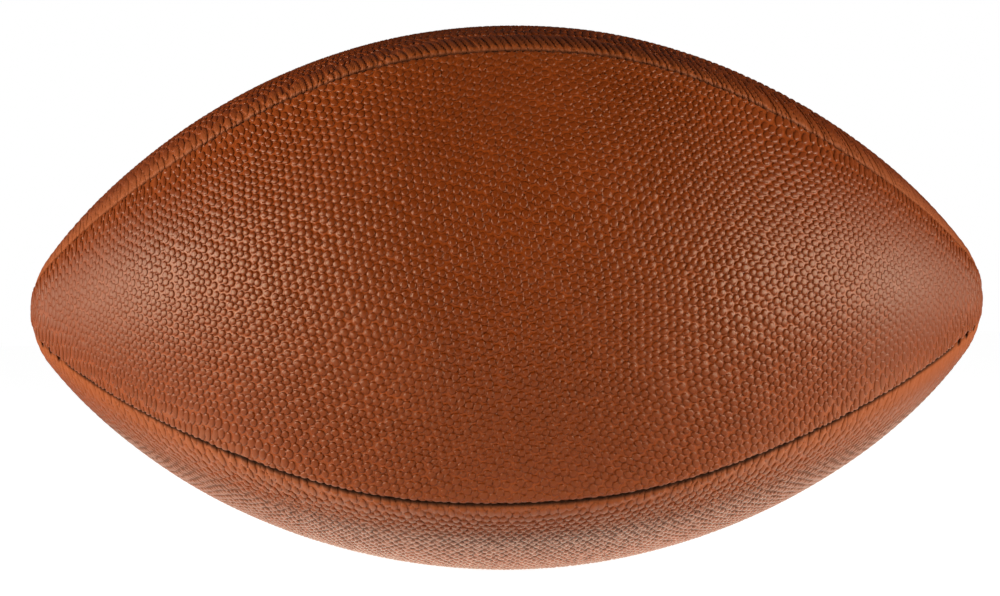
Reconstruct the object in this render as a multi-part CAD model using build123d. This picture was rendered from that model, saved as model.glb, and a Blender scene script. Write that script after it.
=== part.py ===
"""American football: four stitched leather panels with linings, over a laced-in bladder."""
from build123d import *

import math
import os

# Outline of the ball, in millimetres
HALF_LENGTH = 143.0
MID_RADIUS = 80.4
NOSE_RADIUS = 24.0
PANEL_ARC = 140.0
SEAM_ROLL = 2.4
TIP_ANGLE = 76.0
PANEL_SPAN = 90.0
PANEL_TILT = 7.5

# Layers, from the skin inwards
LEATHER = 2.2
GLUE_GAP = 0.1
LINING = 1.0
BLADDER_GAP = 0.3
BLADDER_WALL = 1.0

# Turned-in edges of the panels and the stitching through them
FLANGE = 3.0
FLANGE_DEPTH = 11.0
FLANGE_GAP = 0.4
STITCH_DEPTH = 8.2
STITCH_PITCH = 7.0
STITCH_END_ANGLE = 58.0
STITCH_STEPS = 400
THREAD = 0.8
THREAD_BAND = 1.2
STITCH_HOLE_GAP = 0.15
LAYER_GAP = 0.3

# Lace and the opening that it closes
LACE_BARS = 8
LACE_PITCH = 12.5
LACE_WIDTH = 5.5
LACE_THICK = 1.6
LACE_CORE = 3.6
LACE_HOLE_GAP = 0.4
LACE_REACH = 8.5
LACE_SPINE = 1.2
SPINE_SIT = 0.5
LACE_SIT = 0.3
LACE_SINK = 0.1
SLIT_MARGIN = 13.0
SLIT_EDGE_DEPTH = 6.5
FACING = 1.3
FACING_WIDTH = 12.0
FACING_MARGIN = 3.0
TONGUE = 1.3
TONGUE_WIDTH = 30.0
TONGUE_MARGIN = 5.0

# Valve in the middle of the back panel
VALVE_BODY = 7.6
VALVE_HOLE_GAP = 0.2
VALVE_SUNK = 0.3
VALVE_LENGTH = 15.0
VALVE_BASE = 24.0
CORE_WIDTH = 4.4
CORE_GAP = 0.05
CORE_LENGTH = 12.0
NEEDLE_RADIUS = 1.1
NEEDLE_DEPTH = 9.0
VENT_RADIUS = 0.4

# Outline worked out from the sizes above
BELLY_RADIUS = (((HALF_LENGTH - NOSE_RADIUS) ** 2 + MID_RADIUS**2 - NOSE_RADIUS**2)
                / (2 * (MID_RADIUS - NOSE_RADIUS)))
NOSE_X = HALF_LENGTH - NOSE_RADIUS
JOIN_ANGLE = math.degrees(math.asin(NOSE_X / (BELLY_RADIUS - NOSE_RADIUS)))
ARC_BACK = MID_RADIUS - PANEL_ARC
CORNER = (ARC_BACK + math.sqrt(2 * PANEL_ARC**2 - ARC_BACK**2)) / 2
CORNER_ANGLE = math.degrees(math.asin(CORNER / PANEL_ARC))
CORNER_RATIO = CORNER * math.sqrt(2) / MID_RADIUS
RIDGE_SLOPE = PANEL_SPAN / 2 - CORNER_ANGLE
BLADDER_DEPTH = LEATHER + GLUE_GAP + LINING + BLADDER_GAP
LINING_EDGE = FLANGE + THREAD + LAYER_GAP
SPINE_HALF = LACE_PITCH * (LACE_BARS - 1) / 2
SLIT_HALF = SPINE_HALF + SLIT_MARGIN
FACING_START = FLANGE + LAYER_GAP
RIDGE_THICKENING = CORNER_RATIO * math.cos(math.radians(RIDGE_SLOPE))
LACE_RUN_DEPTH = (LEATHER + GLUE_GAP + FACING) * RIDGE_THICKENING + LAYER_GAP
TONGUE_DEPTH = SLIT_EDGE_DEPTH + LAYER_GAP
POCKET_DEPTH = TONGUE_DEPTH + TONGUE + LAYER_GAP
POCKET_WIDTH = 2 * (FACING_START + FACING_WIDTH + LAYER_GAP)
RIDGE_FALL = math.tan(math.radians(RIDGE_SLOPE))
ROLL_DROP = SEAM_ROLL * (1 / math.cos(math.radians(RIDGE_SLOPE)) + RIDGE_FALL)
REACH = 4 * HALF_LENGTH

PANEL_NAMES = ("front", "top", "back", "bottom")
SEAM_NAMES = ("front_top", "top_back", "back_bottom", "bottom_front")


# Curves: each arc is three control points and three weights, in (along, out)
def arc(along, out, radius, start, end):
    """Arc about a centre, its angles measured from the outward direction."""
    half = math.radians(end - start) / 2
    middle = math.radians(end + start) / 2
    spread = radius / math.cos(half)
    angles = ((math.radians(start), radius), (middle, spread), (math.radians(end), radius))
    points = [(along + r * math.sin(t), out + r * math.cos(t)) for t, r in angles]
    return points, (1.0, math.cos(half), 1.0)


def meridian(depth, end=TIP_ANGLE):
    """Lengthwise outline of a panel's middle, at a depth under the skin: nose, belly, nose."""
    nose = NOSE_RADIUS - depth
    return [
        arc(-NOSE_X, 0, nose, -end, -JOIN_ANGLE),
        arc(0, MID_RADIUS - BELLY_RADIUS, BELLY_RADIUS - depth, -JOIN_ANGLE, JOIN_ANGLE),
        arc(NOSE_X, 0, nose, JOIN_ANGLE, end),
    ]


def plain_section():
    """Crosswise outline of a panel at the belly, up to the seam planes."""
    return [arc(0, ARC_BACK, PANEL_ARC, -CORNER_ANGLE, CORNER_ANGLE)]


def rolled_section():
    """Crosswise outline of a panel at the belly, with its edges rolled in at the seams."""
    shift = math.sqrt(2) * SEAM_ROLL - ARC_BACK
    side = (math.sqrt(2 * (PANEL_ARC - SEAM_ROLL) ** 2 - shift**2) - shift) / 2
    out = side + math.sqrt(2) * SEAM_ROLL
    turn = math.degrees(math.atan2(side, out - ARC_BACK))
    seam_side = 90 + PANEL_SPAN / 2
    return [
        arc(-side, out, SEAM_ROLL, -seam_side, -turn),
        arc(0, ARC_BACK, PANEL_ARC, -turn, turn),
        arc(side, out, SEAM_ROLL, turn, seam_side),
    ]


def skin_point(lengthwise, crosswise):
    """Point of the skin for one control point of each outline, facing -Y."""
    along, out = lengthwise
    across, depth = crosswise
    scale = out / MID_RADIUS
    return Vector(along, -scale * depth, scale * across)


def skin_patch(lengthwise, crosswise):
    """Part of the skin spanned by one lengthwise arc and one crosswise arc."""
    long_points, long_weights = lengthwise
    cross_points, cross_weights = crosswise
    points = [[skin_point(a, b) for b in cross_points] for a in long_points]
    weights = [[v * w for w in cross_weights] for v in long_weights]
    return Face.make_bezier_surface(points, weights)


def lengthwise_edges(outline, crosswise):
    """Edges that run along the skin at one point of the crosswise outline."""
    return [Edge.make_bezier(*[skin_point(p, crosswise) for p in points], weights=list(weights))
            for points, weights in outline]


def crosswise_edges(section, lengthwise):
    """Edges that run across the skin at one point of the lengthwise outline."""
    return [Edge.make_bezier(*[skin_point(lengthwise, p) for p in points], weights=list(weights))
            for points, weights in section]


def flat_face(edges, start, end, corners):
    """Flat face bounded by a chain of edges and straight lines through some corners."""
    stops = [end, *corners, start]
    lines = [Edge.make_line(a, b) for a, b in zip(stops, stops[1:])]
    return Face(Wire(edges + lines))


def wedge(depth, section):
    """Quarter of the ball under one panel that faces -Y, from the axis out to a depth."""
    outline = meridian(depth)
    faces = [skin_patch(a, b) for a in outline for b in section]
    left = outline[0][0][0]
    right = outline[-1][0][-1]
    left_axis = Vector(left[0], 0, 0)
    right_axis = Vector(right[0], 0, 0)
    low = section[0][0][0]
    high = section[-1][0][-1]
    for side in (low, high):
        faces.append(flat_face(lengthwise_edges(outline, side), skin_point(left, side),
                               skin_point(right, side), [right_axis, left_axis]))
    for tip, axis in ((left, left_axis), (right, right_axis)):
        faces.append(flat_face(crosswise_edges(section, tip), skin_point(tip, low),
                               skin_point(tip, high), [axis]))
    return Solid(Shell(faces))


# Places of the four panels and the four seams
def turned(shape, panel):
    """Shape made for a panel that faces -Y, turned to the place of one of the four panels."""
    return Rot(-(PANEL_TILT + PANEL_SPAN * panel), 0, 0) * shape


def at_seam(shape, seam):
    """Shape made for a seam that runs along the top, turned to one of the four seams."""
    return Rot(PANEL_SPAN / 2 - PANEL_TILT - PANEL_SPAN * seam, 0, 0) * shape


def at_edge(shape, high):
    """Shape made for a seam that runs along the top, turned to an edge of a panel facing -Y."""
    edge = 0 if high else -1
    return Rot(PANEL_SPAN / 2 - PANEL_SPAN * edge, 0, 0) * shape


def seam_box(length, width, side=0):
    """Box over a seam that runs along the top, on both sides of it or on one."""
    place = {0: Align.CENTER, 1: Align.MIN, -1: Align.MAX}[side]
    return Box(length, width, REACH, align=(Align.CENTER, place, Align.MIN))


def between_seams(inset):
    """Room under a panel that faces -Y, at least an inset away from both seam planes."""
    room = Box(REACH, REACH, REACH, align=(Align.CENTER, Align.MAX, Align.MIN))
    return Rot(PANEL_SPAN / 2, 0, 0) * Pos(0, -inset, inset) * room


def layer(depth, thickness):
    """Layer under a panel that faces -Y, out to both seam planes."""
    return wedge(depth, plain_section()) - wedge(depth + thickness, plain_section())


def ball(depth):
    """Whole ball at a depth under the skin, with plain corners at the seams."""
    quarters = [turned(wedge(depth, plain_section()), panel) for panel in range(4)]
    return quarters[0].fuse(*quarters[1:])


# Stitched seams, made with the seam along the top
def ridge_point(depth, angle):
    """Point of a seam at a depth, by its angle along the lengthwise outline."""
    turn = math.radians(angle)
    if abs(angle) <= JOIN_ANGLE:
        radius = BELLY_RADIUS - depth
        along, out = radius * math.sin(turn), radius * math.cos(turn) + MID_RADIUS - BELLY_RADIUS
    else:
        radius = NOSE_RADIUS - depth
        along, out = math.copysign(NOSE_X, angle) + radius * math.sin(turn), radius * math.cos(turn)
    return Vector(along, 0, CORNER_RATIO * out)


def ridge_edges(outline):
    """Edges of a seam at the depth of a lengthwise outline."""
    return [Edge.make_bezier(*[(along, 0, CORNER_RATIO * out) for along, out in points],
                             weights=list(weights)) for points, weights in outline]


def ridge_band(upper, lower):
    """Flat band in the seam plane between two lengthwise outlines."""
    top = ridge_edges(upper)
    bottom = ridge_edges(lower)
    ends = [Edge.make_line(top[0] @ 0, bottom[0] @ 0), Edge.make_line(top[-1] @ 1, bottom[-1] @ 1)]
    return Face(Wire(top + bottom + ends))


def stitch_points(laced):
    """Evenly spaced stitches along a seam, on the laced seam only beyond its opening."""
    angles = [STITCH_END_ANGLE * (2 * i / STITCH_STEPS - 1) for i in range(STITCH_STEPS + 1)]
    points = [ridge_point(STITCH_DEPTH, angle) for angle in angles]
    lengths = [0.0]
    for before, after in zip(points, points[1:]):
        lengths.append(lengths[-1] + (after - before).length)
    count = round(lengths[-1] / STITCH_PITCH)
    chosen = []
    for i in range(1, count):
        goal = lengths[-1] * i / count
        chosen.append(next(p for p, length in zip(points, lengths) if length >= goal))
    keep_out = SLIT_HALF + STITCH_PITCH / 2 if laced else 0.0
    return [p for p in chosen if abs(p.X) >= keep_out]


def cross_pins(points, radius, length):
    """Pins across a seam, one at each stitch."""
    return [Pos(p) * Rot(90, 0, 0) * Cylinder(radius, length) for p in points]


def seam_thread(laced):
    """Thread of one seam: a line of stitches on both sides, joined through the holes."""
    half = THREAD_BAND / 2
    band = ridge_band(meridian(STITCH_DEPTH - half, STITCH_END_ANGLE),
                      meridian(STITCH_DEPTH + half, STITCH_END_ANGLE))
    lines = [Pos(0, side * FLANGE, 0) * extrude(band, amount=THREAD, dir=(0, side, 0))
             for side in (-1, 1)]
    if laced:
        lines = [line - seam_box(2 * SLIT_HALF, REACH) for line in lines]
    legs = cross_pins(stitch_points(laced), THREAD / 2, 2 * FLANGE + THREAD)
    return lines[0].fuse(lines[1], *legs)


# Lace, made with its seam along the top
def ridge_frame(along):
    """Place on the laced seam's outer corner line, with X along the seam and Z outwards."""
    angle = math.degrees(math.asin(along / BELLY_RADIUS))
    point = ridge_point(0, angle)
    slope = math.degrees(math.atan(CORNER_RATIO * math.tan(math.radians(angle))))
    return Location(point, (0, slope, 0))


def hole_frame(along, side):
    """Place on the skin at a lace hole, with Z square to the skin."""
    drop = LACE_REACH * RIDGE_FALL + LACE_REACH**2 / (2 * PANEL_ARC)
    slope = RIDGE_SLOPE + math.degrees(LACE_REACH / PANEL_ARC)
    return ridge_frame(along) * Location((0, side * LACE_REACH, -drop), (-side * slope, 0, 0))


def lace_places():
    """Places of the cross bars along the laced seam."""
    return [LACE_PITCH * i - SPINE_HALF for i in range(LACE_BARS)]


def lace_holes(side):
    """Holes on one side of the laced seam, through the panel and its facing."""
    hole = Cylinder(LACE_CORE / 2 + LACE_HOLE_GAP, 2 * (LACE_RUN_DEPTH + LACE_THICK))
    return [hole_frame(along, side) * hole for along in lace_places()]


def lace_spine():
    """Strand of the lace that runs along the seam, under the cross bars."""
    foot = (ROLL_DROP - SEAM_ROLL - SPINE_SIT) / CORNER_RATIO
    head = foot - LACE_SPINE / CORNER_RATIO
    end = math.degrees(math.asin((SPINE_HALF + LACE_WIDTH / 2) / BELLY_RADIUS))
    upper, lower = [[arc(0, MID_RADIUS - BELLY_RADIUS, BELLY_RADIUS - depth, -end, end)]
                    for depth in (head, foot)]
    return extrude(ridge_band(upper, lower), amount=LACE_WIDTH / 2, dir=(0, 1, 0), both=True)


def lace_bar():
    """Cross bar of the lace, arched over the spine, in a ridge frame."""
    top = SPINE_SIT + LACE_SPINE - LACE_SINK - (ROLL_DROP - SEAM_ROLL)
    rise = top + LACE_REACH * RIDGE_FALL - LACE_SIT
    radius = (LACE_REACH**2 + rise**2) / (2 * rise)
    ring = Cylinder(radius + LACE_THICK, LACE_WIDTH) - Cylinder(radius, LACE_WIDTH)
    arch = Pos(0, 0, top - radius) * Rot(0, 90, 0) * ring
    return arch & Pos(0, 0, top - radius) * seam_box(LACE_WIDTH, 2 * (LACE_REACH + LACE_SIT))


def lace():
    """The whole lace: spine, cross bars, legs through the holes and runs inside."""
    places = lace_places()
    leg_length = LACE_RUN_DEPTH + LACE_THICK + LACE_SIT + LACE_THICK
    leg = Cylinder(LACE_CORE / 2, leg_length, align=(Align.CENTER, Align.CENTER, Align.MIN))
    leg = Pos(0, 0, -LACE_RUN_DEPTH - LACE_THICK) * leg
    bar = lace_bar()
    pieces = []
    for along in places:
        pieces.append(ridge_frame(along) * bar)
        pieces.extend(hole_frame(along, side) * leg for side in (-1, 1))
    run = Box(LACE_PITCH + LACE_CORE, LACE_WIDTH, LACE_THICK,
              align=(Align.CENTER, Align.CENTER, Align.MAX))
    for i, (before, after) in enumerate(zip(places, places[1:])):
        side = 1 if i % 2 else -1
        pieces.append(hole_frame((before + after) / 2, side) * Pos(0, 0, -LACE_RUN_DEPTH) * run)
    return lace_spine().fuse(*pieces)


def lace_tongue():
    """Flap under the lace, over the top of the bladder."""
    strip = ball(TONGUE_DEPTH) - ball(TONGUE_DEPTH + TONGUE)
    return strip & at_seam(seam_box(2 * (SLIT_HALF - TONGUE_MARGIN), TONGUE_WIDTH), 1)


# Valve, made in a panel that faces -Y
def valve_pin(radius, length, top=0.0):
    """Cylinder along the valve, down from a distance under the skin."""
    pin = Cylinder(radius, length, align=(Align.CENTER, Align.CENTER, Align.MAX))
    return Pos(0, top - MID_RADIUS, 0) * Rot(90, 0, 0) * pin


def valve_housing():
    """Rubber boss with a base under the leather and a bore for the core."""
    base = layer(LEATHER + GLUE_GAP, LINING) & valve_pin(VALVE_BASE / 2, VALVE_LENGTH)
    body = base + valve_pin(VALVE_BODY / 2, VALVE_LENGTH, VALVE_SUNK)
    body -= valve_pin(CORE_WIDTH / 2 + CORE_GAP, CORE_LENGTH + VALVE_SUNK)
    return body - valve_pin(VENT_RADIUS, VALVE_LENGTH + 2 * VALVE_SUNK)


def valve_core():
    """Plug with the channel that an inflating needle enters."""
    body = valve_pin(CORE_WIDTH / 2, CORE_LENGTH, VALVE_SUNK)
    body -= valve_pin(NEEDLE_RADIUS, NEEDLE_DEPTH + VALVE_SUNK)
    return body - valve_pin(VENT_RADIUS, CORE_LENGTH + 2 * VALVE_SUNK)


# Panels and linings, made facing -Y; the lace is on one edge of two of them
def laced_edge(panel):
    """Whether the laced seam is at a panel's high edge or its low edge, or neither."""
    return {1: True, 2: False}.get(panel)


def panel_shell(panel):
    """Leather panel with turned-in edges, pierced for the thread, the lace and the valve."""
    shell = wedge(0, rolled_section())
    shell -= wedge(LEATHER, plain_section()) & between_seams(FLANGE)
    shell -= wedge(FLANGE_DEPTH, plain_section())
    laced = laced_edge(panel)
    tools = []
    for high in (True, False):
        pins = cross_pins(stitch_points(high is laced), THREAD / 2 + STITCH_HOLE_GAP, 3 * FLANGE)
        tools.extend(at_edge(pin, high) for pin in pins)
    if laced is not None:
        opening = at_edge(seam_box(2 * SLIT_HALF, 2 * FLANGE), laced)
        shell -= wedge(SLIT_EDGE_DEPTH, plain_section()) & opening
        tools.extend(at_edge(hole, laced) for hole in lace_holes(-1 if laced else 1))
    if PANEL_NAMES[panel] == "back":
        tools.append(valve_pin(VALVE_BODY / 2 + VALVE_HOLE_GAP, VALVE_LENGTH))
    return shell.cut(*tools)


def panel_lining(panel):
    """Lining inside a panel, stopping short of the seams, the lace facing and the valve."""
    lining = layer(LEATHER + GLUE_GAP, LINING) & between_seams(LINING_EDGE)
    laced = laced_edge(panel)
    if laced is not None:
        lining -= at_edge(seam_box(2 * SLIT_HALF, POCKET_WIDTH), laced)
    if PANEL_NAMES[panel] == "back":
        lining -= valve_pin(VALVE_BASE / 2 + LAYER_GAP, VALVE_LENGTH)
    return lining


def lace_facing(panel):
    """Strip that backs the lace holes of one panel."""
    laced = laced_edge(panel)
    side = -1 if laced else 1
    strip = seam_box(2 * (SLIT_HALF - FACING_MARGIN), FACING_WIDTH, side)
    strip = Pos(0, side * FACING_START, 0) * strip
    facing = layer(LEATHER + GLUE_GAP, FACING) & at_edge(strip, laced)
    return facing.cut(*[at_edge(hole, laced) for hole in lace_holes(side)])


# Bladder, made in its place
def bladder_form(inset):
    """Lobed body of the bladder, one lobe under each panel and a pocket under the lace."""
    lobe = wedge(BLADDER_DEPTH + inset, plain_section()) & between_seams(LINING_EDGE + inset)
    lobes = [turned(lobe, panel) for panel in range(4)]
    form = ball(FLANGE_DEPTH + FLANGE_GAP + inset).fuse(*lobes)
    pocket = at_seam(seam_box(2 * (SLIT_HALF + inset), POCKET_WIDTH + 2 * inset), 1)
    return form - (pocket - ball(POCKET_DEPTH + inset))


def bladder():
    """Rubber bladder with an even wall and a hole for the valve."""
    shell = bladder_form(0) - bladder_form(BLADDER_WALL)
    return shell - turned(valve_pin(VALVE_BODY / 2 + GLUE_GAP, VALVE_LENGTH), 2)


# All pieces, each under its own name
def pieces():
    """Every piece of the ball in its place."""
    made = {}
    plain_thread = seam_thread(False)
    for panel, name in enumerate(PANEL_NAMES):
        made[f"{name}_panel"] = turned(panel_shell(panel), panel)
        made[f"{name}_lining"] = turned(panel_lining(panel), panel)
    for seam, name in enumerate(SEAM_NAMES):
        thread = seam_thread(True) if name == "top_back" else plain_thread
        made[f"{name}_thread"] = at_seam(thread, seam)
    for panel in (1, 2):
        made[f"{PANEL_NAMES[panel]}_lace_facing"] = turned(lace_facing(panel), panel)
    made["lace"] = at_seam(lace(), 1)
    made["lace_tongue"] = lace_tongue()
    made["valve_housing"] = turned(valve_housing(), 2)
    made["valve_core"] = turned(valve_core(), 2)
    made["bladder"] = bladder()
    return made


os.makedirs("parts", exist_ok=True)
for node, shape in pieces().items():
    shape.label = node
    export_step(shape, f"parts/{node}.step")
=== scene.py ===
import math

import bpy
import numpy as np
from mathutils import Matrix, Vector


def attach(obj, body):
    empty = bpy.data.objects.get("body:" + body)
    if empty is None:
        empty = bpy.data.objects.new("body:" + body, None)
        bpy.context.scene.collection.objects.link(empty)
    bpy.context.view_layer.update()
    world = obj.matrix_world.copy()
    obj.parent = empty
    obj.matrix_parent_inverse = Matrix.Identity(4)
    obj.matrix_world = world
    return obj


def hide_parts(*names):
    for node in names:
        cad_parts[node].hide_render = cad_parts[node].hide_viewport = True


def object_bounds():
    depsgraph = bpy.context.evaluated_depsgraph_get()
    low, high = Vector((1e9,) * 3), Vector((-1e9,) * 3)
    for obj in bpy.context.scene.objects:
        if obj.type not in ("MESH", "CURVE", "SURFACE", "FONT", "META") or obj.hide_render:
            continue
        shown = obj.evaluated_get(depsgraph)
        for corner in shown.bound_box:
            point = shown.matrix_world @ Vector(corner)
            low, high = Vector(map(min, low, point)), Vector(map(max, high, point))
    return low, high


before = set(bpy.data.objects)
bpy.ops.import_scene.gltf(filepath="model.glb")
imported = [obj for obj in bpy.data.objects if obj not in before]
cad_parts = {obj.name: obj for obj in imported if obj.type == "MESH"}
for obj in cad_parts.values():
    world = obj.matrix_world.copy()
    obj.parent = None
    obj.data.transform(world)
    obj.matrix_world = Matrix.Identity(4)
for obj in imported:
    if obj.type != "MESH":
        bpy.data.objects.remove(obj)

cad_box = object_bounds()

# Sizes of the ball in millimetres, as in the solids
MM = 0.001
HALF_LENGTH = 143.0
MID_RADIUS = 80.4
NOSE_RADIUS = 24.0
SOLID_TILT = 7.5
PANEL_SPAN = 90.0
PANEL_NAMES = ("front", "top", "back", "bottom")

# The ball as blown up: it sits a little round its axis, twists along it, and no end is quite like the other
PANEL_TILT = 6.15
TWIST = 1.35
LEFT_FULLNESS = 0.087
RIGHT_FULLNESS = 0.127
FULLNESS_POWER = 5
BOW = 1.6

# How far the seams stand out beside the middle of a panel, at the belly and towards the ends
BELLY_CORNER = 1.1155
END_CORNER = 0.9675
BELLY_TO = 26.0
END_FROM = 142.5

# Turned-in edges of the panels
SEAM_ROLL = 1.5
ROLL_SHARE = 0.07
SEAM_GAP = 0.12
GAP_SHARE = 0.006
SEAM_LIP = 2.2
LIP_SHARE = 0.5
EDGE_AT = 0.6
# Dark lines in the seams: dirt and painted shade in the creases
CLOSING_DIRT_AND_SHADE = (0.95, -0.25)
OTHER_DIRT_AND_SHADE = (0.7, -0.7)

# The closing seam is sewn by hand from outside, and its stitches hold small eyelets open near both tips
CLOSING_EDGES = {0: -1, 3: 1}
STITCH_PITCH = 4.4
EYELET_FIRST_LEFT = 15.3
EYELET_FIRST_RIGHT = 14.7
EYELET_COUNT = 3
EYELET_OPEN = 0.75
EYELET_SHUT = 0.7
EYELET_SHARP = 1.6
EYELET_EASE = 0.5

# Pebbled grain of the leather; four values are for the front, top, back and bottom panels
PEBBLE_PITCH = 2.4
PEBBLE_RADIUS = 1.08
PEBBLE_SPREAD = 0.12
PEBBLE_STRAY = 0.3
PEBBLE_HEIGHT = (0.92, 1.15, 1.0, 1.15)
PEBBLE_IN_MESH = 0.62
PEBBLE_LEAN = (0.35, 0.0, 0.0, 0.0)
PLEAT_LEAN = (0.0, 0.22, 0.0, 0.0)
PLEAT_PACK = (1.0, 1.2, 1.0, 1.0)
END_PACK = (0.28, 0.0, 0.0, 0.0)
END_PACK_FROM = 70.0
END_PACK_TO = 130.0
PEBBLE_TABLE = 211
PEBBLE_SEED = 60
DRIFT_RUN_SEED = 70
DRIFT_WIDTH_SEED = 80
PATCH_SEED = 20
CUSHION_ROUND = 3.0
DOME_ROUND = 6.0
DOME_POWER = 0.6
DRIFT_CELL = 34.0
DRIFT = 3.5
STRETCH_REACH = (18.0, 30.0, 24.0, 13.0)
STRETCH_POWER = (1, 2, 2, 1)
STRETCH_AT_BELLY = (0.8, 0.05, 0.12, 0.3)
STRETCH_AT_ENDS = (0.18, 0.05, 0.12, 0.2)
STRETCH_FROM = 40.0
STRETCH_TO = 110.0
TIP_FADE_FROM = 60.0
TIP_FADE_TO = 150.0
TIP_FADE = 0.84
TIP_FADE_INSIDE = ((-7.0, 16.0), (-4.0, 0.0), (-4.0, 0.0), (-4.0, 0.0))
SEAM_FADE_REACH = 6.0
SEAM_FADE = (0.3, 0.0, 0.0, 0.1)
ROLL_FADE = ((-1.0, 1.0), (-1.4, 0.4), (-1.4, 0.4), (-1.0, 1.0))
# Paler leather near the seams: rubbed, stretched grain and painted light on the seam strips
RUBBED_AND_LIT_REACH = 11.0
RUBBED_AND_LIT = (0.2, 0.8, 0.7, 0.8)
# Painted shade between the bottom panel's pebbles
VALLEY_SHADE = (0.0, 0.0, 0.0, 0.7)
VALLEY_AT = (0.72, 1.02)
VALLEY_FROM = (11.0, 20.0)
POLISH = (0.0, 0.0, 0.0, 0.8)
POLISH_FROM = (12.0, 24.0)
POLISH_AT_ENDS = 0.4
PATCH_CELL = 24.0
PATCH_FADE = 0.16
SMALLEST_PEBBLE = 0.05
TALLEST_PEBBLE = 1.1

# Fineness of the panels' meshes
GRAIN_STEP = 0.38
HIDDEN_GRAIN_STEP = 0.5
FINE_STEP = 0.26
FINE_REACH = 36.0
WIDEST_HALF = 76.0
SHORTEST = 1e-9

# Cotton linings, leather facings and the bladder, all inside the panels
LINING_DEPTH = 2.4
LINING_THICK = 0.5
LINING_SHARE = 0.9
FACING_DEPTH = 3.0
FACING_THICK = 1.3
FACING_HALF = 52.0
FACING_SHARES = (0.74, 0.9)
BLADDER_DEPTH = 3.4
BLADDER_SHARE = 0.94
BLADDER_WIDE = 0.86
BLADDER_END = 0.02
INNER_STEP = 2.0

# Lace over the seam between the top and back panels
LACED_EDGES = {1: 1, 2: -1}
LACE_SEAM = 135.0
LACE_BARS = 8
LACE_PITCH = 12.5
LACE_WIDTH = 5.5
LACE_THICK = 1.6
BAR_HALF = 9.6
BAR_DIVE = 4.5
BAR_STEPS = 49
BAR_SKEW = 0.45
BAR_SEED = 5
BAR_OVER = (0.75, 0.2)
BAR_DIVE_FROM = 0.82
STRAND_WIDTH = 2.7
STRAND_THICK = 1.3
STRAND_ASIDE = 1.42
STRAND_STEPS = 160
STRAND_OVER = 5.0
LACE_HOLE_AT = 9.1
LACE_HOLE_LONG = 2.6
LACE_HOLE_WIDE = 1.2
LACE_HOLE_DEEP = 1.1
STRIP_SIDES = 28
STRIP_SQUARE = 0.4
STRIP_END = 0.06

# Valve in the back panel, where the solids have it
VALVED_PANEL = 2
VALVE_ASIDE = MID_RADIUS * math.tan(math.radians(SOLID_TILT - PANEL_TILT))
RECESS_RADIUS = 4.0
RECESS_WALL = 0.5
RECESS_DEPTH = 1.3
RECESS_LIP = 0.35
RECESS_LIP_WIDTH = 1.4

# Outline worked out from the sizes above
BELLY_RADIUS = (((HALF_LENGTH - NOSE_RADIUS) ** 2 + MID_RADIUS**2 - NOSE_RADIUS**2)
                / (2 * (MID_RADIUS - NOSE_RADIUS)))
NOSE_X = HALF_LENGTH - NOSE_RADIUS
JOIN_ANGLE = math.asin(NOSE_X / (BELLY_RADIUS - NOSE_RADIUS))
TIP_ANGLE = math.radians(88.5)
BELLY_RUN = BELLY_RADIUS * JOIN_ANGLE
HALF_RUN = BELLY_RUN + NOSE_RADIUS * (TIP_ANGLE - JOIN_ANGLE)
FULL_RUN = BELLY_RUN + NOSE_RADIUS * (math.pi / 2 - JOIN_ANGLE)
ROOT_TWO = math.sqrt(2)


# Shader maths
class Value:
    """A socket of a finish; sums and products on it add Math nodes."""

    def __init__(self, nodes, socket):
        self.nodes = nodes
        self.socket = socket

    def math(self, operation, *others):
        values = dict(enumerate((self, *others)))
        return self.nodes.node("ShaderNodeMath", {"operation": operation}, values)

    def __add__(self, other):
        return self.math("ADD", other)

    def __sub__(self, other):
        return self.math("SUBTRACT", other)

    def __mul__(self, other):
        return self.math("MULTIPLY", other)

    def __truediv__(self, other):
        return self.math("DIVIDE", other)

    def __rsub__(self, other):
        return self.nodes.node("ShaderNodeMath", {"operation": "SUBTRACT"}, {0: other, 1: self})

    def __pow__(self, other):
        return self.math("POWER", other)

    def cosine(self):
        return self.math("COSINE")

    __radd__ = __add__
    __rmul__ = __mul__


class Nodes:
    """A node tree that is built up node by node."""

    def __init__(self, tree):
        self.tree = tree

    def feed(self, socket, value):
        if isinstance(value, Value):
            self.tree.links.new(value.socket, socket)
        else:
            socket.default_value = value

    def node(self, kind, settings=None, inputs=None, output=0):
        made = self.tree.nodes.new(kind)
        for name, value in (settings or {}).items():
            if name == "stops":
                self.set_stops(made.color_ramp, value)
            else:
                setattr(made, name, value)
        for key, value in (inputs or {}).items():
            self.feed(made.inputs[key], value)
        return Value(self, made.outputs[output])

    def set_stops(self, ramp, stops):
        while len(ramp.elements) < len(stops):
            ramp.elements.new(1.0)
        for element, (place, colour) in zip(ramp.elements, stops):
            element.position = place
            element.color = (*colour, 1)

    def show(self, shader, output):
        self.feed(self.tree.nodes[output].inputs["Surface"], shader)


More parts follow.
